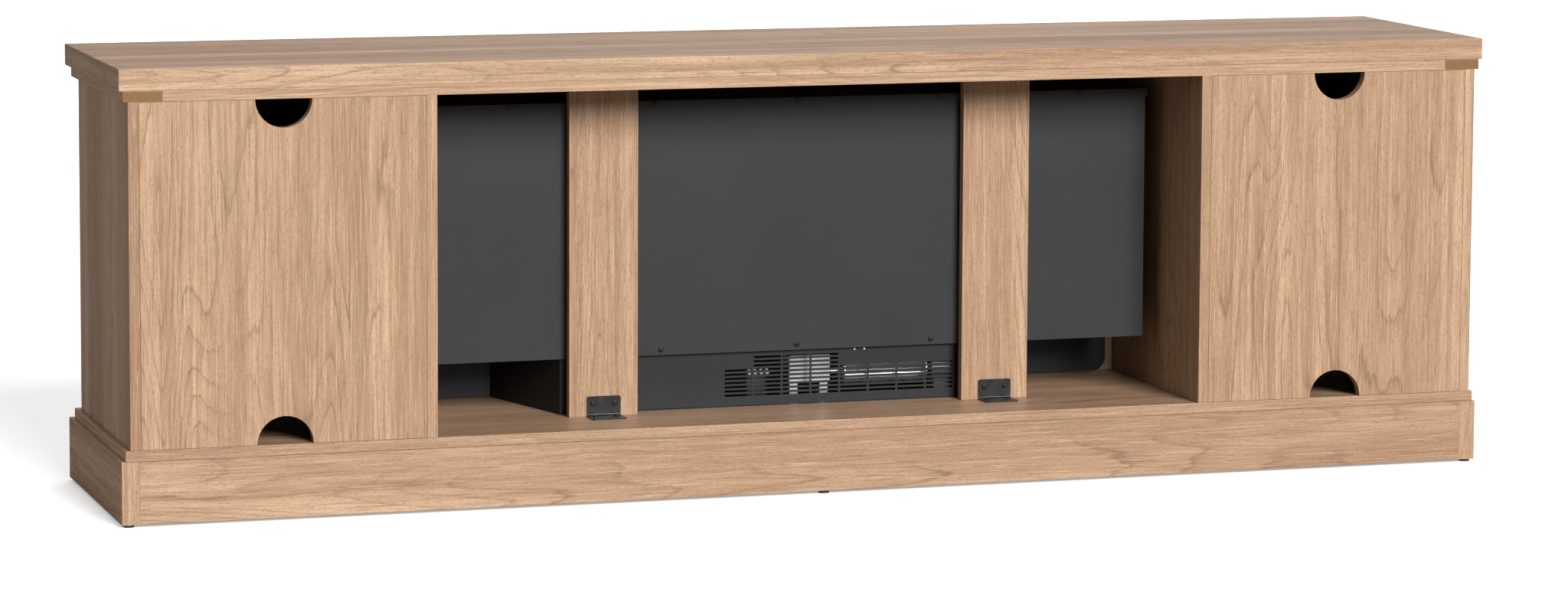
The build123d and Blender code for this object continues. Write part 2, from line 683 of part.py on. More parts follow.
def insert_front_flange():
    """Rounded frame that bears on the back of the fascia, holds the glass and lets warm air out."""
    low = Z_FLOOR + SHEET
    high = Z_INSERT_TOP + 1.5
    body = block(-FLANGE_HALF, FLANGE_HALF, Y_FASCIA, Y_FLANGE_BACK, low, high)
    body = fillet(body.edges().filter_by(Axis.Y), FLANGE_CORNER)
    body -= block(-FLANGE_OPENING_HALF, FLANGE_OPENING_HALF, Y_FASCIA - 1, Y_FLANGE_BACK + 1,
                  Z_OPENING_LOW, Z_OPENING_HIGH)
    seat = GLASS_HALF + GLASS_PLAY
    lap = GLASS_LAP + GLASS_PLAY
    body -= block(-seat, seat, Y_FASCIA - 1, Y_FASCIA + GLASS_THICK + 0.2,
                  Z_OPENING_LOW - lap, Z_OPENING_HIGH + lap)
    return body - outlet_slots()


def insert_glass():
    return block(-GLASS_HALF, GLASS_HALF, Y_FASCIA + 0.2, Y_FASCIA + 0.2 + GLASS_THICK,
                 Z_OPENING_LOW - GLASS_LAP, Z_OPENING_HIGH + GLASS_LAP)


# ---- Insert: flame unit -----------------------------------------------------------
def flame_screen():
    half = REAR_PLATE_HALF - 10
    z0 = Z_REAR_PLATE + SHEET
    return block(-half, half, Y_FLAME_SCREEN, Y_FLAME_SCREEN + 3, z0, Z_INSERT_TOP - 10)


def log_set():
    """Moulded ember bed with a pile of logs, in one piece."""
    z0 = Z_REAR_PLATE + SHEET
    z_bed = z0 + EMBER_BED_HEIGHT
    pile = block(-EMBER_BED_HALF, EMBER_BED_HALF, Y_FLAME_SCREEN - 52, Y_FLAME_SCREEN - 4, z0, z_bed)
    for k in range(-LOGS_EACH_SIDE, LOGS_EACH_SIDE + 1):
        angle = 8 * sin(2.4 * k)
        tilt = 5 * cos(1.7 * k)
        radius = 10 + 2.5 * cos(1.3 * k)
        length = 150 + 22 * sin(0.9 * k)
        place = Pos(k * LOG_PITCH, Y_FLAME_SCREEN - 35 + 4 * sin(k), z_bed + radius * 0.6)
        pile += place * Rot(0, tilt, angle) * Rot(0, 90, 0) * Cylinder(radius, length)
    return pile


def flame_spindle():
    """Slow shaft whose bent flags throw the flickering light on the screen."""
    shaft = rod_x(-SPINDLE_HALF - 10, REAR_PLATE_HALF, Y_SPINDLE, Z_SPINDLE, SHAFT_RADIUS)
    flag = Box(14, 2 * SPINDLE_FLAG_RADIUS, 0.8)
    first = -SPINDLE_HALF + 30
    pitch = -2 * first / (SPINDLE_FLAGS - 1)
    for k in range(SPINDLE_FLAGS):
        x = first + k * pitch
        shaft += Pos(x, Y_SPINDLE, Z_SPINDLE) * Rot(k * 67, 0, 0) * Rot(0, 0, 25) * flag
    return shaft


def spindle_motor():
    """Flat synchronous motor on its foot at the left end of the spindle."""
    x0 = -SPINDLE_HALF - 4 - SPINDLE_MOTOR_LENGTH
    x1 = -SPINDLE_HALF - 4
    body = rod_x(x0, x1, Y_SPINDLE, Z_SPINDLE, SPINDLE_MOTOR_RADIUS)
    body += block(x0, x1, Y_SPINDLE - 10, Y_SPINDLE + 10, Z_REAR_PLATE + SHEET, Z_SPINDLE)
    return body - rod_x(x1 - 7, x1, Y_SPINDLE, Z_SPINDLE, SHAFT_RADIUS + SHAFT_CLEARANCE)


# ---- Insert: heater ---------------------------------------------------------------
def heater_box():
    """Bright sheet box around the heating element, open at the front."""
    z1 = Z_HEATER + HEATER_HEIGHT
    box = block(HEATER_LEFT, HEATER_RIGHT, Y_HEATER_FRONT, Y_HEATER_BACK, Z_HEATER, z1)
    box -= block(HEATER_LEFT + SHEET, HEATER_RIGHT - SHEET, Y_HEATER_FRONT - 1, Y_HEATER_BACK - SHEET,
                 Z_HEATER + SHEET, z1 - SHEET)
    for x in (HEATER_LEFT + 8, HEATER_RIGHT - 8):
        box += block(x - 6, x + 6, Y_HEATER_FRONT + 4, Y_HEATER_BACK - 4, Z_FLOOR + SHEET, Z_HEATER)
    return box - rod_x(HEATER_LEFT, HEATER_LEFT + SHEET, Y_BLOWER, Z_BLOWER, SHAFT_RADIUS + SHAFT_CLEARANCE)


def heater_element():
    """Ceramic heating block with its stack of fins."""
    x0 = HEATER_LEFT + 8
    x1 = HEATER_RIGHT - SHEET
    y0 = Y_HEATER_FRONT + 1
    core = block(x0, x1, y0 + 3, y0 + 13, Z_HEATER + 4, Z_HEATER + 34)
    for k in range(HEATER_FINS):
        x = x0 + 4 + k * HEATER_FIN_PITCH
        core += block(x - 0.4, x + 0.4, y0, y0 + 16, Z_HEATER + 6, Z_HEATER + 32)
    return core


def blower_wheel():
    """Cross-flow wheel: end discs, ring of blades and shaft."""
    wheel = rod_x(BLOWER_LEFT - 12, HEATER_LEFT + 4, Y_BLOWER, Z_BLOWER, SHAFT_RADIUS)
    for x in (BLOWER_LEFT, BLOWER_RIGHT - BLOWER_DISC):
        wheel += rod_x(x, x + BLOWER_DISC, Y_BLOWER, Z_BLOWER, BLOWER_RADIUS)
    middle = (BLOWER_LEFT + BLOWER_RIGHT) / 2
    length = BLOWER_RIGHT - BLOWER_LEFT
    for k in range(BLOWER_BLADES):
        blade = Pos(0, 0, BLOWER_RADIUS - 3.2) * Rot(28, 0, 0) * Box(length, 0.9, 5.5)
        wheel += Pos(middle, Y_BLOWER, Z_BLOWER) * Rot(360 * k / BLOWER_BLADES, 0, 0) * blade
    return wheel


def blower_motor():
    x1 = BLOWER_LEFT - 6
    x0 = x1 - MOTOR_LENGTH
    body = rod_x(x0, x1, Y_BLOWER, Z_BLOWER, MOTOR_RADIUS)
    body = fillet(body.edges(), 2.5)
    body += block(x0 + 6, x1 - 6, Y_BLOWER - 14, Y_BLOWER + 14, Z_FLOOR + SHEET, Z_BLOWER)
    return body - rod_x(x1 - 8, x1, Y_BLOWER, Z_BLOWER, SHAFT_RADIUS + SHAFT_CLEARANCE)


# ---- Write every node -------------------------------------------------------------
save("top_panel", top_panel())
save("frieze_back_rail", frieze_back_rail())
save("frieze_front_rail", frieze_front_rail())
save("frieze_cross_strips", [frieze_cross_strip(side) for side in SIDES.values()])
floor_board = bottom_panel()
for hand, side in SIDES.items():
    floor_board = drill_for_bracket(floor_board, side, "z")
    save(f"frieze_end_strip_{hand}", frieze_end_strip(side))
    save(f"side_panel_{hand}", side_panel(side))
    save(f"partition_{hand}", partition(side))
    save(f"back_panel_{hand}", back_panel(side))
    save(f"shelf_{hand}", shelf(side))
    save(f"plinth_side_{hand}", plinth_side(side))
    save(f"post_{hand}", drill_for_bracket(post(side), side, "y"))
    save(f"post_bracket_{hand}", post_bracket(side))
    save(f"fascia_stile_{hand}", fascia_stile(side))
    save(f"door_frame_{hand}", door_frame(side))
    save(f"door_panel_{hand}", door_panel(side))
    save(f"door_handle_{hand}", door_handle(side))
    save(f"door_pivots_{hand}", door_pivots(side))
    save(f"door_strike_{hand}", door_strike(side))
save("bottom_panel", floor_board)
save("plinth_front", plinth_front())
save("plinth_back", plinth_back())
save("plinth_centre_rail", plinth_centre_rail())
save("glides", glides())
save("shelf_pins", shelf_pins())
save("bracket_screws", bracket_screws())
save("magnetic_catches", [magnetic_catch(side) for side in SIDES.values()])
save("fascia_top_rail", fascia_top_rail())
save("fascia_bottom_rail", fascia_bottom_rail())
save("insert_rear_plate", insert_rear_plate())
save("insert_top_cover", insert_top_cover())
save("insert_sides", [insert_side(side) for side in SIDES.values()])
save("insert_deck", insert_deck())
save("insert_lower_walls", [lower_wall(side) for side in SIDES.values()])
save("insert_base_plate", insert_base_plate())
save("insert_vent_plate", insert_vent_plate())
save("insert_screws", insert_screws())
save("insert_front_flange", insert_front_flange())
save("insert_glass", insert_glass())
save("flame_screen", flame_screen())
save("log_set", log_set())
save("flame_spindle", flame_spindle())
save("spindle_motor", spindle_motor())
save("heater_box", heater_box())
save("heater_element", heater_element())
save("blower_wheel", blower_wheel())
save("blower_motor", blower_motor())
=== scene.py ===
"""Looks of the media cabinet: camera, light, materials and the pieces that CAD keeps plain.

Metres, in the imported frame: the doors face -Y, the back faces +Y and +X is the right end
for a person who faces the doors.
"""

import math
import random

import bmesh
import bpy
from mathutils import Euler, Matrix, Vector, noise


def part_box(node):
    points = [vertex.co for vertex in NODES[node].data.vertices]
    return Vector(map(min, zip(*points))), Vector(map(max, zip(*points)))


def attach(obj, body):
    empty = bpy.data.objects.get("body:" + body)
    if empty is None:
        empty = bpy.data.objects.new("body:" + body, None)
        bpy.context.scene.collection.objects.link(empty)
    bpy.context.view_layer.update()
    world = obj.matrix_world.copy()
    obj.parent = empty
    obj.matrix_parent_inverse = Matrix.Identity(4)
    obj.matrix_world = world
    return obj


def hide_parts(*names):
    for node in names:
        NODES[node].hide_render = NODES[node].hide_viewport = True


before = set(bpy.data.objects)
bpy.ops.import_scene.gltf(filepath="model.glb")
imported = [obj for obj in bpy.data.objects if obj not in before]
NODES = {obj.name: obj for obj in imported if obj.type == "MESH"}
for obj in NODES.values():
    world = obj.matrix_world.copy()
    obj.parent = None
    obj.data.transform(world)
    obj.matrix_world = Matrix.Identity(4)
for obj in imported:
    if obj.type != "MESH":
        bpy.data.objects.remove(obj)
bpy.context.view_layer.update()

# ---- Camera -----------------------------------------------------------------------
CAMERA_PLACE = (2.2796, 7.1541, 1.2693)
CAMERA_TURN = (83.869, -0.281, 162.343)     # degrees
CAMERA_LENS = 118.71
CAMERA_SHIFT_Y = -0.09

# ---- Light: where each sun stands, its power, and its softness in degrees ------------
KEY_FROM = (-0.18, 0.88, 0.42)
KEY_POWER = 5.05
KEY_SOFTNESS = 26
FRONT_FROM = (-0.30, -0.88, 0.35)
FRONT_POWER = 2.3
RIM_FROM = (-0.55, -0.82, 0.17)
RIM_POWER = 0.28
RIM_SOFTNESS = 50
SIDE_FROM = (0.90, 0.10, 0.42)
SIDE_POWER = 0.60
FILL_SOFTNESS = 60
WORLD_POWER = 0.13

FLOOR_SEEN = (0.96, 0.96, 0.96)
FLOOR_BOUNCE = (0.30, 0.27, 0.24)
FLOOR_GLOW = 0.37
FLOOR_REACH = 60.0
FLOOR_DROP = 0.0002                         # below the glides, so that no faces coincide

# ---- Colours of the surfaces, linear ----------------------------------------------
OAK_LIGHT = (0.530, 0.368, 0.238)
OAK_MID = (0.345, 0.212, 0.126)
OAK_BROWN = (0.270, 0.160, 0.094)
OAK_PINK = (0.330, 0.186, 0.118)
OAK_RING = (0.190, 0.102, 0.058)
OAK_DARK = (0.175, 0.096, 0.054)
RAW_EDGE = (0.165, 0.088, 0.033)
CHARCOAL = (0.0165, 0.0165, 0.0178)
VENT_CHARCOAL = (0.009, 0.009, 0.0098)
BLACK_STEEL = (0.007, 0.007, 0.0078)
ZINC = (0.78, 0.79, 0.80)

# ---- Wood and small parts, metres -------------------------------------------------
DOOR_STILE = 0.060
JOINT_SHADE_WIDTH = 0.0016                        # painted shade line where a board is let in, for the shadow in the joint gap
ARRIS_HIGHLIGHT_WIDTH = 0.0016                         # painted highlight along the arrises of the other boards
SMOOTH_ANGLE = 35                           # degrees, edges sharper than this stay sharp
RIVET_PLACES = (-0.091, -0.106)             # along the vent plate
RIVET_DROP = 0.0038                         # below the upper plate's lower edge
TERMINAL_MIDDLE = 0.049
TERMINAL_LEVEL = 0.147                      # underside of the strip
TERMINAL_SETBACK = 0.010                    # in from the heater box's rear face
TERMINAL_COUNT = 4
TERMINAL_PITCH = 0.009
LOG_LOW, LOG_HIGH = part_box("log_set")
LOG_COUNT = 9
LOG_RINGS = 34
LOG_STEPS = 26
EMBER_COLUMNS = 260
EMBER_ROWS = 18


# ---- Shader graph helpers ---------------------------------------------------------
class Graph:
    """One material under construction."""

    def __init__(self, name):
        self.material = bpy.data.materials.new(name)
        self.material.use_nodes = True
        self.tree = self.material.node_tree
        self.shader = self.tree.nodes["Principled BSDF"]

    def add(self, kind, inputs=None, **settings):
        node = self.tree.nodes.new("ShaderNode" + kind)
        for key, value in settings.items():
            setattr(node, key, value)
        for key, value in (inputs or {}).items():
            self.feed(node.inputs[key], value)
        return node

    def feed(self, socket, value):
        if isinstance(value, bpy.types.NodeSocket):
            self.tree.links.new(value, socket)
        elif isinstance(value, tuple) and len(value) == 3 and socket.type == "RGBA":
            socket.default_value = (*value, 1.0)
        else:
            socket.default_value = value

    def math(self, operation, a, b=0.0, c=0.0, clamp=False):
        node = self.add("Math", {0: a, 1: b, 2: c}, operation=operation, use_clamp=clamp)
        return node.outputs[0]

    def place(self):
        return self.add("TexCoord").outputs["Object"]

    def noise(self, scale, offset=(0, 0, 0), detail=2.0, roughness=0.5, distortion=0.0):
        """3-D noise with its own scale on each axis, in cycles per metre."""
        mapping = self.add("Mapping", {"Vector": self.place(), "Location": offset, "Scale": scale})
        texture = self.add("TexNoise", {"Vector": mapping.outputs[0], "Scale": 1.0, "Detail": detail,
                                        "Roughness": roughness, "Distortion": distortion})
        return texture.outputs[0]

    def remap(self, value, low, high, to_low=0.0, to_high=1.0, smooth=False):
        style = "SMOOTHSTEP" if smooth else "LINEAR"
        node = self.add("MapRange", {"Value": value, "From Min": low, "From Max": high,
                                     "To Min": to_low, "To Max": to_high}, interpolation_type=style)
        return node.outputs[0]

    def mix(self, share, a, b, blend="MIX"):
        node = self.add("Mix", data_type="RGBA", blend_type=blend)
        self.feed(node.inputs[0], share)
        self.feed(node.inputs[6], a)
        self.feed(node.inputs[7], b)
        return node.outputs[2]

    def ramp(self, value, stops):
        node = self.add("ValToRGB", {0: value})
        elements = node.color_ramp.elements
        while len(elements) < len(stops):
            elements.new(0.5)
        for element, (position, level) in zip(elements, stops):
            element.position = position
            element.color = (level, level, level, 1.0)
        return node.outputs[0]

    def edge(self, low, high, width):
        """1 along the arrises of a box from low to high, falling to 0 at width from them."""
        axes = self.add("SeparateXYZ", {0: self.place()})
        gaps = []
        for k in range(3):
            below = self.math("SUBTRACT", axes.outputs[k], low[k])
            above = self.math("SUBTRACT", high[k], axes.outputs[k])
            gaps.append(self.math("MINIMUM", below, above))
        first = self.math("MAXIMUM", self.math("MINIMUM", gaps[0], gaps[1]),
                          self.math("MINIMUM", gaps[1], gaps[2]))
        second = self.math("MAXIMUM", first, self.math("MINIMUM", gaps[0], gaps[2]))
        return self.remap(second, 0.0, width, 1.0, 0.0, smooth=True)

    def bump(self, height, strength, distance):
        node = self.add("Bump", {"Height": height, "Strength": strength, "Distance": distance})
        self.feed(self.shader.inputs["Normal"], node.outputs[0])

    def set(self, **values):
        for key, value in values.items():
            self.feed(self.shader.inputs[key.replace("_", " ")], value)
        return self.material


# ---- Materials --------------------------------------------------------------------
def oak_figure(g, grain, shift, bold=0.0):
    """Colour, pores and sheen of light oak with its figure along one axis (0, 1 or 2).

    bold adds to the contrast of the wide bands, from 0 to 0.5.
    """

    def streaks(across, lengthwise, detail=2.0, roughness=0.5, distortion=0.0):
        scale = tuple(lengthwise if k == grain else across for k in range(3))
        return g.noise(scale, shift, detail, roughness, distortion)

    figure = streaks(8.0, 0.85, detail=1.5, roughness=0.4, distortion=0.35)
    waver = streaks(60.0, 7.0, detail=3.0)
    ring = g.math("FRACT", g.math("MULTIPLY", g.math("MULTIPLY_ADD", waver, 0.030, figure), 30.0))
    line = g.ramp(ring, ((0.0, 0.0), (0.50, 0.0), (0.82, 0.28), (0.93, 1.0), (0.985, 0.15), (1.0, 0.0)))
    gate = g.remap(streaks(13.0, 1.6), 0.40, 0.62, 0.10, 1.0)
    band = g.remap(streaks(17.0, 0.5, detail=3.0, roughness=0.6), 0.38, 0.62)
    stripe = g.remap(streaks(64.0, 1.1, detail=3.0, roughness=0.6), 0.46, 0.66)
    flush = g.remap(streaks(30.0, 2.4, detail=3.0), 0.47, 0.66)
    vein = g.remap(streaks(170.0, 2.4, detail=5.0, roughness=0.78), 0.35, 0.65)
    fleck = g.remap(streaks(560.0, 16.0, detail=3.0, roughness=0.7), 0.52, 0.64)
    pore = g.remap(streaks(1100.0, 170.0, detail=1.0), 0.54, 0.66)
    gleam = g.remap(streaks(430.0, 10.0, detail=3.0, roughness=0.7), 0.54, 0.68)

    base = g.mix(vein, OAK_LIGHT, OAK_MID)
    base = g.mix(g.math("MULTIPLY", g.math("SUBTRACT", 1.0, band), bold), base, OAK_LIGHT)
    base = g.mix(g.math("MULTIPLY", band, 0.50 + bold), base, OAK_BROWN)
    base = g.mix(g.math("MULTIPLY", stripe, 0.62), base, OAK_BROWN)
    base = g.mix(g.math("MULTIPLY", flush, 0.45), base, OAK_PINK)
    base = g.mix(g.math("MULTIPLY", g.math("MULTIPLY", line, gate), 0.80), base, OAK_RING)
    base = g.mix(g.math("MULTIPLY", fleck, 0.48), base, OAK_DARK)
    base = g.mix(g.math("MULTIPLY", gleam, 0.60), base, OAK_LIGHT)
    base = g.mix(g.math("MULTIPLY", pore, 0.42), base, OAK_DARK)
    return base, vein, g.math("SUBTRACT", gleam, fleck)


def oak(name, grain, seed, low, high, banded=None, rails=None, let_in=False, bold=0.0):
    """Printed light-oak laminate.

    banded is the axis of the faces that carry an edge band, and the axis its figure runs
    along, or None for a raw end. rails is the stretch along X, between a door frame's
    stiles, where the figure runs along X. A board that is let in flush between others has
    a thin line of painted shade round it for the shadow in the joint gap, and any other
    board has a painted highlight along its arrises.
    """
    g = Graph(name)
    roll = random.Random(seed)
    shift = tuple(roll.uniform(-40, 40) for _ in range(3))
    base, vein, pores = oak_figure(g, grain, shift, bold)
    if rails is not None:
        along = g.add("SeparateXYZ", {0: g.place()}).outputs[0]
        past_first = g.math("GREATER_THAN", along, rails[0])
        before_last = g.math("LESS_THAN", along, rails[1])
        crossed = oak_figure(g, 0, tuple(s - 9.0 for s in shift))[0]
        base = g.mix(g.math("MULTIPLY", past_first, before_last), base, crossed)
    if banded is not None:
        face_axis, band_grain = banded
        facing = g.add("SeparateXYZ", {0: g.add("TexCoord").outputs["Normal"]})
        mask = g.math("GREATER_THAN", g.math("ABSOLUTE", facing.outputs[face_axis]), 0.7)
        if band_grain is None:
            chips = g.noise((420.0, 420.0, 420.0), shift, detail=3.0)
            other = g.mix(g.remap(chips, 0.35, 0.65), RAW_EDGE, tuple(1.25 * c for c in RAW_EDGE))
        else:
            other = oak_figure(g, band_grain, tuple(s + 9.0 for s in shift))[0]
        base = g.mix(mask, base, other)
    if let_in:
        # painted shade: a dark line along the let-in board's arrises stands in for the shadow in the joint
        # gap
        base = g.mix(g.math("MULTIPLY", g.edge(low, high, JOINT_SHADE_WIDTH), 0.75), base, OAK_RING)
    else:
        # painted highlight: the arrises of the other boards are lightened towards OAK_LIGHT where they
        # would catch the light
        arris_highlight = g.math("MULTIPLY", g.edge(low, high, ARRIS_HIGHLIGHT_WIDTH), vein)
        base = g.mix(g.math("MULTIPLY", arris_highlight, 0.35), base, OAK_LIGHT)
    g.bump(pores, 0.20, 0.0002)
    return g.set(Base_Color=base, Roughness=g.remap(vein, 0.0, 1.0, 0.36, 0.48),
                 Specular_IOR_Level=0.22)


def charcoal_sheet(name, colour):
    """Powder-coated sheet steel with a fine orange-peel skin."""
    g = Graph(name)
    cloud = g.noise((5.0, 5.0, 5.0), detail=3.0)
    grit = g.noise((1400.0, 1400.0, 1400.0), detail=2.0)
    scuff = g.noise((30.0, 30.0, 260.0), detail=3.0, roughness=0.6)
    shade = g.mix(g.remap(cloud, 0.3, 0.7), colour, tuple(1.18 * c for c in colour))
    shade = g.mix(g.remap(scuff, 0.62, 0.78, 0.0, 0.10), shade, (0.10, 0.10, 0.10))
    g.bump(grit, 0.18, 0.00012)
    return g.set(Base_Color=shade, Roughness=g.remap(cloud, 0.3, 0.7, 0.46, 0.56),
                 Specular_IOR_Level=0.30)


def black_steel():
    g = Graph("black_steel")
    cloud = g.noise((60.0, 60.0, 60.0), detail=3.0)
    grit = g.noise((2200.0, 2200.0, 2200.0), detail=2.0)
    shade = g.mix(g.remap(cloud, 0.55, 0.75), BLACK_STEEL, (0.020, 0.020, 0.021))
    g.bump(grit, 0.12, 0.00008)
    return g.set(Base_Color=shade, Roughness=g.remap(cloud, 0.3, 0.7, 0.30, 0.44),
                 Specular_IOR_Level=0.34)


def zinc_steel():
    """Bright galvanised sheet: spangle, rolling lines and a few dull patches."""
    g = Graph("zinc_steel")
    spangle = g.add("TexVoronoi", {"Vector": g.place(), "Scale": 160.0})
    tint = g.remap(spangle.outputs["Distance"], 0.0, 0.6, 0.86, 1.0)
    lines = g.noise((6.0, 900.0, 900.0), detail=2.0)
    dull = g.noise((24.0, 24.0, 24.0), detail=3.0)
    shade = g.mix(tint, (0.55, 0.56, 0.57), ZINC)
    g.bump(lines, 0.10, 0.00006)
    return g.set(Base_Color=shade, Metallic=1.0, Roughness=g.remap(dull, 0.3, 0.7, 0.34, 0.52))


def black_plastic():
    g = Graph("black_plastic")
    cloud = g.noise((40.0, 40.0, 40.0), detail=2.0)
    grit = g.noise((1800.0, 1800.0, 1800.0), detail=1.0)
    shade = g.mix(g.remap(cloud, 0.35, 0.7), (0.016, 0.016, 0.017), (0.026, 0.026, 0.027))
    g.bump(grit, 0.2, 0.0001)
    return g.set(Base_Color=shade, Roughness=g.remap(cloud, 0.3, 0.7, 0.45, 0.6))


def front_glass():
    """Lightly smoked safety glass with a faint film of dust."""
    g = Graph("front_glass")
    film = g.noise((9.0, 9.0, 9.0), detail=4.0, roughness=0.6)
    shade = g.mix(g.remap(film, 0.4, 0.7), (0.010, 0.010, 0.011), (0.030, 0.030, 0.032))
    return g.set(Base_Color=shade, Roughness=g.remap(film, 0.35, 0.75, 0.02, 0.09), Alpha=0.30, IOR=2.4)


def flame_screen_material():
    g = Graph("flame_screen")
    cloud = g.noise((12.0, 12.0, 4.0), detail=4.0)
    shade = g.mix(g.remap(cloud, 0.35, 0.7), (0.030, 0.026, 0.024), (0.060, 0.050, 0.044))
    return g.set(Base_Color=shade, Roughness=g.remap(cloud, 0.3, 0.7, 0.22, 0.38))


def log_material():
    g = Graph("log_moulding")
    bark = g.noise((16.0, 90.0, 90.0), detail=5.0, roughness=0.65)
    ash = g.noise((22.0, 22.0, 22.0), detail=4.0)
    shade = g.mix(g.remap(bark, 0.35, 0.65), (0.030, 0.020, 0.014), (0.15, 0.085, 0.045))
    shade = g.mix(g.remap(ash, 0.58, 0.72, 0.0, 0.7), shade, (0.30, 0.28, 0.26))
    g.bump(bark, 0.8, 0.002)
    return g.set(Base_Color=shade, Roughness=g.remap(ash, 0.3, 0.7, 0.75, 0.92))


def heating_ceramic():
    g = Graph("heating_ceramic")
    cloud = g.noise((70.0, 70.0, 70.0), detail=3.0)
    shade = g.mix(g.remap(cloud, 0.3, 0.7), (0.30, 0.24, 0.19), (0.42, 0.36, 0.30))
    g.bump(cloud, 0.3, 0.0002)
    return g.set(Base_Color=shade, Roughness=g.remap(cloud, 0.3, 0.7, 0.6, 0.8))


def motor_casing():
    g = Graph("motor_casing")
    cloud = g.noise((50.0, 50.0, 50.0), detail=3.0)
    shade = g.mix(g.remap(cloud, 0.3, 0.7), (0.10, 0.10, 0.105), (0.17, 0.17, 0.175))
    g.bump(g.noise((1500.0, 1500.0, 1500.0)), 0.15, 0.0001)
    return g.set(Base_Color=shade, Metallic=0.4, Roughness=g.remap(cloud, 0.3, 0.7, 0.35, 0.5))


def paint(node, material):
    data = NODES[node].data
    data.materials.clear()
    data.materials.append(material)


# ---- Camera, floor and light ------------------------------------------------------
def make_camera():
    data = bpy.data.cameras.new("camera")
    data.sensor_width = 36.0
    data.lens = CAMERA_LENS
    data.shift_y = CAMERA_SHIFT_Y
    camera = bpy.data.objects.new("camera", data)
    camera.location = CAMERA_PLACE
    camera.rotation_euler = Euler([math.radians(t) for t in CAMERA_TURN])
    bpy.context.scene.collection.objects.link(camera)
    bpy.context.scene.camera = camera


def make_floor():
    mesh = bpy.data.meshes.new("floor")
    corners = [(x * FLOOR_REACH, y * FLOOR_REACH, 0) for x, y in ((-1, -1), (1, -1), (1, 1), (-1, 1))]
    mesh.from_pydata(corners, [], [(0, 1, 2, 3)])
    floor = bpy.data.objects.new("floor", mesh)
    floor.location.z = -FLOOR_DROP
    bpy.context.scene.collection.objects.link(floor)
    g = Graph("floor_paint")
    seen = g.add("LightPath").outputs["Is Camera Ray"]
    g.set(Base_Color=g.mix(seen, FLOOR_BOUNCE, FLOOR_SEEN), Roughness=0.9, Specular_IOR_Level=0.1,
          Emission_Color=(1.0, 1.0, 1.0), Emission_Strength=g.math("MULTIPLY", seen, FLOOR_GLOW))
    mesh.materials.append(g.material)


def make_sun(name, towards, power, softness, glossy=True):
    data = bpy.data.lights.new(name, "SUN")
    data.energy = power
    data.angle = math.radians(softness)
    lamp = bpy.data.objects.new(name, data)
    lamp.rotation_euler = Vector(towards).to_track_quat("Z", "Y").to_euler()
    lamp.visible_glossy = glossy
    bpy.context.scene.collection.objects.link(lamp)


def make_world():
    """Dim surround for the light, white where the camera sees past the floor."""
    world = bpy.data.worlds.new("studio")
    bpy.context.scene.world = world
    world.use_nodes = True
    tree = world.node_tree
    background = tree.nodes["Background"]
    background.inputs["Color"].default_value = (1.0, 1.0, 1.0, 1.0)
    background.inputs["Strength"].default_value = WORLD_POWER
    shown = tree.nodes.new("ShaderNodeBackground")
    shown.inputs["Color"].default_value = (1.0, 1.0, 1.0, 1.0)
    shown.inputs["Strength"].default_value = 1.0
    path = tree.nodes.new("ShaderNodeLightPath")
    choice = tree.nodes.new("ShaderNodeMixShader")
    tree.links.new(path.outputs["Is Camera Ray"], choice.inputs[0])
    tree.links.new(background.outputs[0], choice.inputs[1])
    tree.links.new(shown.outputs[0], choice.inputs[2])
    tree.links.new(choice.outputs[0], tree.nodes["World Output"].inputs[0])


make_camera()
make_floor()
make_world()
make_sun("key", KEY_FROM, KEY_POWER, KEY_SOFTNESS)
make_sun("front_fill", FRONT_FROM, FRONT_POWER, FILL_SOFTNESS, glossy=False)
make_sun("side_fill", SIDE_FROM, SIDE_POWER, FILL_SOFTNESS, glossy=False)
make_sun("rim", RIM_FROM, RIM_POWER, RIM_SOFTNESS)
bpy.context.scene.view_settings.view_transform = "Standard"

# ---- Wood -------------------------------------------------------------------------
GRAIN = {
    0: ["top_panel", "frieze_back_rail", "frieze_front_rail", "bottom_panel", "plinth_front",
        "plinth_back", "fascia_top_rail", "fascia_bottom_rail", "shelf_left", "shelf_right"],
    1: ["frieze_end_strip_left", "frieze_end_strip_right", "frieze_cross_strips", "plinth_side_left",
        "plinth_side_right", "plinth_centre_rail"],
    2: ["side_panel_left", "side_panel_right", "partition_left", "partition_right", "back_panel_left",
        "back_panel_right", "post_left", "post_right", "fascia_stile_left", "fascia_stile_right",
        "door_frame_left", "door_frame_right", "door_panel_left", "door_panel_right"],
}
# Faces with an edge band of their own: the faces' axis, and the band's grain (None is a raw end)
BANDED = {
    "top_panel": (0, 1),
    "bottom_panel": (0, 1),
    "plinth_side_left": (1, 2),
    "plinth_side_right": (1, 2),
    "frieze_end_strip_left": (1, None),
    "frieze_end_strip_right": (1, None),
}
# Boards whose wide bands stand out more
BOLD = {
    "top_panel": 0.5,
    "side_panel_left": 0.5,
    "side_panel_right": 0.5,
    "plinth_back": 0.3,
    "plinth_front": 0.3,
}
for axis, names in GRAIN.items():
    for name in names:
        low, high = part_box(name)
        rails = None
        if name.startswith("door_frame"):
            rails = (low[0] + DOOR_STILE, high[0] - DOOR_STILE)
        paint(name, oak("oak_" + name, axis, name, tuple(low), tuple(high), BANDED.get(name), rails,
                        let_in=name.startswith("back_panel"), bold=BOLD.get(name, 0.0)))

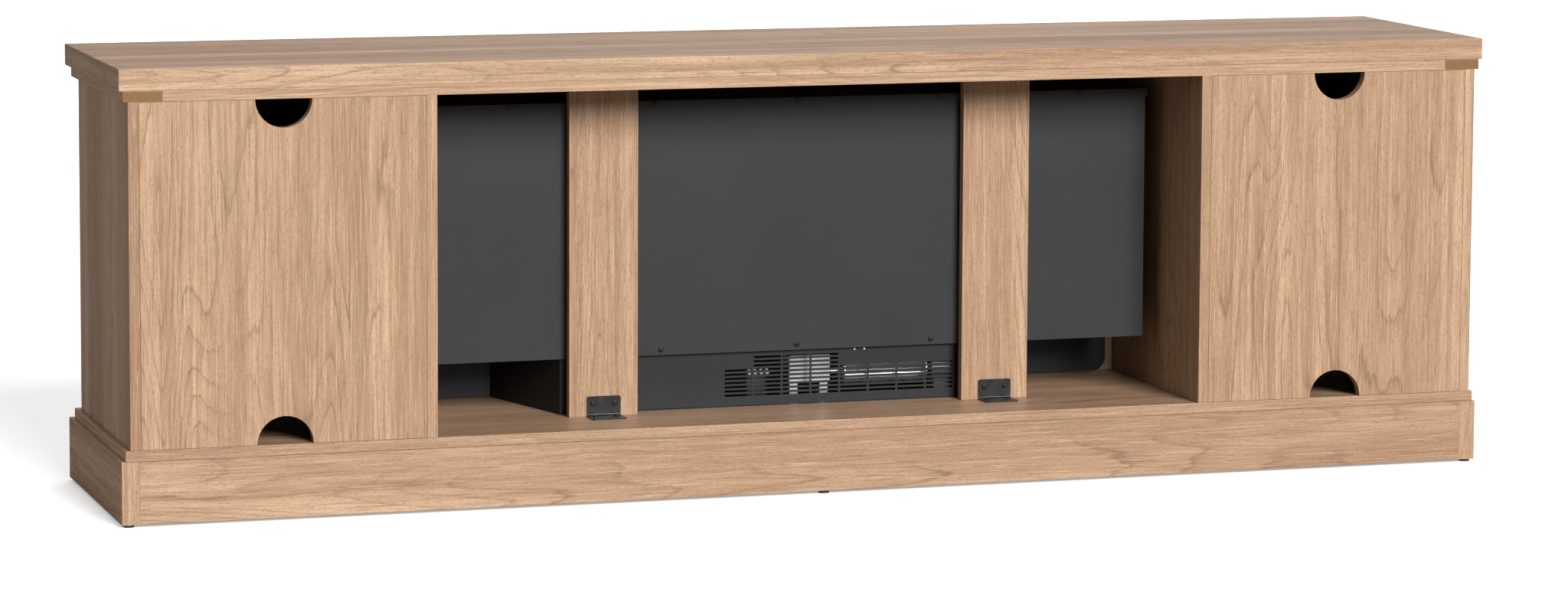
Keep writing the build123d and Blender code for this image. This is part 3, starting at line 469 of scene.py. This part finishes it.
# ---- Metal, glass and plastic -----------------------------------------------------
SURFACES = {
    charcoal_sheet("charcoal_sheet", CHARCOAL): ["insert_rear_plate", "insert_top_cover",
                                                 "insert_sides", "insert_deck"],
    charcoal_sheet("vent_sheet", VENT_CHARCOAL): ["insert_vent_plate", "insert_lower_walls",
                                                  "insert_base_plate", "insert_front_flange"],
    black_steel(): ["post_bracket_left", "post_bracket_right", "door_handle_left",
                    "door_handle_right", "bracket_screws", "insert_screws"],
    zinc_steel(): ["door_pivots_left", "door_pivots_right", "door_strike_left",
                   "door_strike_right", "shelf_pins", "heater_box", "blower_wheel",
                   "flame_spindle"],
    black_plastic(): ["glides", "magnetic_catches", "spindle_motor"],
    front_glass(): ["insert_glass"],
    flame_screen_material(): ["flame_screen"],
    log_material(): ["log_set"],
    heating_ceramic(): ["heater_element"],
    motor_casing(): ["blower_motor"],
}
for material, names in SURFACES.items():
    for name in names:
        paint(name, material)


# ---- Pieces that CAD keeps plain ---------------------------------------------------
def make_piece(name, mesh_edit, material, body):
    """Mesh piece from an edit function, riding on a body."""
    bm = bmesh.new()
    mesh_edit(bm)
    bmesh.ops.recalc_face_normals(bm, faces=bm.faces)
    mesh = bpy.data.meshes.new(name)
    bm.to_mesh(mesh)
    bm.free()
    piece = bpy.data.objects.new(name, mesh)
    bpy.context.scene.collection.objects.link(piece)
    mesh.materials.append(material)
    mesh.shade_smooth()
    mesh.set_sharp_from_angle(angle=math.radians(SMOOTH_ANGLE))
    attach(piece, body)
    return piece


def lathe(bm, profile, place, steps=20):
    """Surface of revolution about local Z from (radius, height) pairs, closed at both ends."""
    rings = []
    for radius, height in profile:
        ring = []
        for k in range(steps):
            a = math.tau * k / steps
            ring.append(bm.verts.new(place @ Vector((radius * math.cos(a), radius * math.sin(a), height))))
        rings.append(ring)
    for lower, upper in zip(rings, rings[1:]):
        for k in range(steps):
            n = (k + 1) % steps
            bm.faces.new((lower[k], lower[n], upper[n], upper[k]))
    bm.faces.new(rings[0])
    bm.faces.new(rings[-1])


def rounded_block(bm, low, high, radius):
    """Box with bevelled edges."""
    size = Vector(high) - Vector(low)
    centre = (Vector(low) + Vector(high)) / 2
    matrix = Matrix.Translation(centre) @ Matrix.Diagonal((*size, 1.0))
    made = bmesh.ops.create_cube(bm, size=1.0, matrix=matrix)
    edges = {e for v in made["verts"] for e in v.link_edges}
    bmesh.ops.bevel(bm, geom=list(edges), offset=radius, segments=2, profile=0.5, affect="EDGES")


def rivets(bm):
    """Two blind rivets under the upper plate's lower edge."""
    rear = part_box("insert_vent_plate")[1][1]
    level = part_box("insert_rear_plate")[0][2] - RIVET_DROP
    for x in RIVET_PLACES:
        place = Matrix.Translation((x, rear, level)) @ Matrix.Rotation(-math.pi / 2, 4, "X")
        lathe(bm, ((0.0016, -0.0002), (0.0016, 0.0003), (0.0012, 0.0008), (0.0005, 0.0010)), place)


def terminal_rear():
    """Y of the terminal strip's working line."""
    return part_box("heater_box")[1][1] - TERMINAL_SETBACK


def terminal_body(bm):
    """Terminal strip beside the heater, on a bent foot."""
    y = terminal_rear()
    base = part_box("insert_base_plate")[1][2]
    strip_low = (TERMINAL_MIDDLE - 0.019, y - 0.009, TERMINAL_LEVEL)
    strip_high = (TERMINAL_MIDDLE + 0.019, y + 0.002, TERMINAL_LEVEL + 0.009)
    foot_left = TERMINAL_MIDDLE - 0.015
    foot_right = TERMINAL_MIDDLE + 0.015
    rounded_block(bm, strip_low, strip_high, 0.0008)
    rounded_block(bm, (foot_left, y - 0.008, base), (foot_right, y - 0.0065, TERMINAL_LEVEL + 0.0005),
                  0.0004)
    rounded_block(bm, (foot_left, y - 0.008, base), (foot_right, y + 0.004, base + 0.0012), 0.0004)


def terminal_screws(bm):
    """Bright clamping screws and lugs of the terminal strip."""
    y = terminal_rear()
    top = TERMINAL_LEVEL + 0.009
    for k in range(TERMINAL_COUNT):
        x = TERMINAL_MIDDLE + (k - (TERMINAL_COUNT - 1) / 2) * TERMINAL_PITCH
        spot = Matrix.Translation((x, y + 0.002, TERMINAL_LEVEL + 0.0047))
        place = spot @ Matrix.Rotation(-math.pi / 2, 4, "X")
        lathe(bm, ((0.0028, -0.0004), (0.0028, 0.0010), (0.0020, 0.0018), (0.0006, 0.0019)), place)
        rounded_block(bm, (x - 0.0022, y - 0.006, top), (x + 0.0022, y + 0.001, top + 0.0008), 0.0002)


def knobbly_log(bm, roll, centre, length, radius, turn, tilt):
    """Branch with bark ridges, a bend and broken ends."""
    place = Matrix.Translation(centre) @ Matrix.Rotation(turn, 4, "Z") @ Matrix.Rotation(tilt, 4, "Y")
    seed = Vector((roll.uniform(-50, 50), roll.uniform(-50, 50), roll.uniform(-50, 50)))
    bow = roll.uniform(-0.006, 0.006)
    made = []
    for j in range(LOG_RINGS):
        share = j / (LOG_RINGS - 1)
        along = (share - 0.5) * length
        end = min(share, 1 - share)
        taper = min(1.0, 0.72 + end * 5.0) * (1.0 - 0.12 * share)
        ring = []
        for k in range(LOG_STEPS):
            a = math.tau * k / LOG_STEPS
            around = Vector((math.cos(a), math.sin(a)))
            spot = Vector((along * 26, around.x * 1.9, around.y * 1.9)) + seed
            ridge = noise.noise(Vector((along * 22, around.x * 4.2, around.y * 4.2)) + seed)
            r = radius * taper * (1.0 + 0.13 * noise.noise(spot) - 0.10 * abs(ridge))
            jag = 0.004 * noise.noise(spot * 2.3) if end == 0 else 0.0
            y = r * around.x
            z = r * around.y + bow * math.cos(math.pi * (share - 0.5))
            ring.append(bm.verts.new(place @ Vector((along + jag, y, z))))
        made.append(ring)
    for lower, upper in zip(made, made[1:]):
        for k in range(LOG_STEPS):
            n = (k + 1) % LOG_STEPS
            bm.faces.new((lower[k], lower[n], upper[n], upper[k]))
    bm.faces.new(made[0])
    bm.faces.new(made[-1])


def logs(bm):
    """A row of branches in two layers along the ember bed."""
    roll = random.Random(7)
    width = LOG_HIGH[0] - LOG_LOW[0]
    middle = (LOG_LOW[1] + LOG_HIGH[1]) / 2
    for k in range(LOG_COUNT):
        x = LOG_LOW[0] + width * (k + 0.5) / LOG_COUNT
        centre = (x, middle - 0.007 + roll.uniform(-0.003, 0.003), LOG_LOW[2] + 0.019)
        knobbly_log(bm, roll, centre, roll.uniform(0.125, 0.150), roll.uniform(0.0085, 0.0105),
                    roll.uniform(-0.10, 0.10), roll.uniform(-0.05, 0.05))
    for k in range(LOG_COUNT - 2):
        x = LOG_LOW[0] + width * (k + 1.5) / LOG_COUNT + roll.uniform(-0.012, 0.012)
        centre = (x, middle + 0.003, LOG_LOW[2] + 0.034)
        knobbly_log(bm, roll, centre, roll.uniform(0.115, 0.145), roll.uniform(0.0075, 0.0095),
                    roll.choice((-1, 1)) * roll.uniform(0.10, 0.20), roll.uniform(-0.06, 0.06))


def ember_bed(bm):
    """Tray of moulded coals: a lumpy surface on a flat base."""
    x0, x1 = LOG_LOW[0] + 0.001, LOG_HIGH[0] - 0.001
    y0, y1 = LOG_LOW[1] + 0.001, LOG_HIGH[1] - 0.001
    grid = []
    for j in range(EMBER_ROWS + 1):
        line = []
        for i in range(EMBER_COLUMNS + 1):
            x = x0 + (x1 - x0) * i / EMBER_COLUMNS
            y = y0 + (y1 - y0) * j / EMBER_ROWS
            lump = noise.cell(Vector((x * 70, y * 70, 3.0)))
            gap = noise.voronoi(Vector((x * 62, y * 62, 1.5)), distance_metric="DISTANCE")[0][0]
            inset = min(1.0, min(i, EMBER_COLUMNS - i, j, EMBER_ROWS - j) / 2.0)
            z = LOG_LOW[2] + 0.004 + inset * (0.011 - 0.009 * min(1.0, gap) + 0.0025 * lump)
            line.append(bm.verts.new((x, y, z)))
        grid.append(line)
    for j in range(EMBER_ROWS):
        for i in range(EMBER_COLUMNS):
            bm.faces.new((grid[j][i], grid[j][i + 1], grid[j + 1][i + 1], grid[j + 1][i]))
    rim = [e for e in bm.edges if e.is_boundary]
    skirt = bmesh.ops.extrude_edge_only(bm, edges=rim)["geom"]
    for vert in [v for v in skirt if isinstance(v, bmesh.types.BMVert)]:
        vert.co.z = LOG_LOW[2]
    bmesh.ops.holes_fill(bm, edges=[e for e in bm.edges if e.is_boundary], sides=0)


def coal_material():
    """Moulded coals: dark crust, ash on top and a dull red glow in the gaps."""
    g = Graph("ember_coal")
    cracks = g.add("TexVoronoi", {"Vector": g.place(), "Scale": 62.0})
    ash = g.noise((120.0, 120.0, 120.0), detail=4.0)
    crust = g.mix(g.remap(ash, 0.45, 0.70), (0.020, 0.016, 0.014), (0.22, 0.20, 0.185))
    shade = g.mix(g.remap(cracks.outputs["Distance"], 0.45, 0.75, smooth=True), crust, (0.30, 0.045, 0.012))
    g.bump(ash, 0.6, 0.0015)
    return g.set(Base_Color=shade, Roughness=g.remap(ash, 0.3, 0.7, 0.8, 0.95))


make_piece("vent_rivets", rivets, NODES["heater_box"].data.materials[0], "cabinet")
make_piece("terminal_strip", terminal_body, NODES["spindle_motor"].data.materials[0], "cabinet")
make_piece("terminal_screws", terminal_screws, NODES["heater_box"].data.materials[0], "cabinet")
log_piece = make_piece("fire_logs", logs, NODES["log_set"].data.materials[0], "cabinet")
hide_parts("log_set")
make_piece("ember_bed", ember_bed, coal_material(), "cabinet")
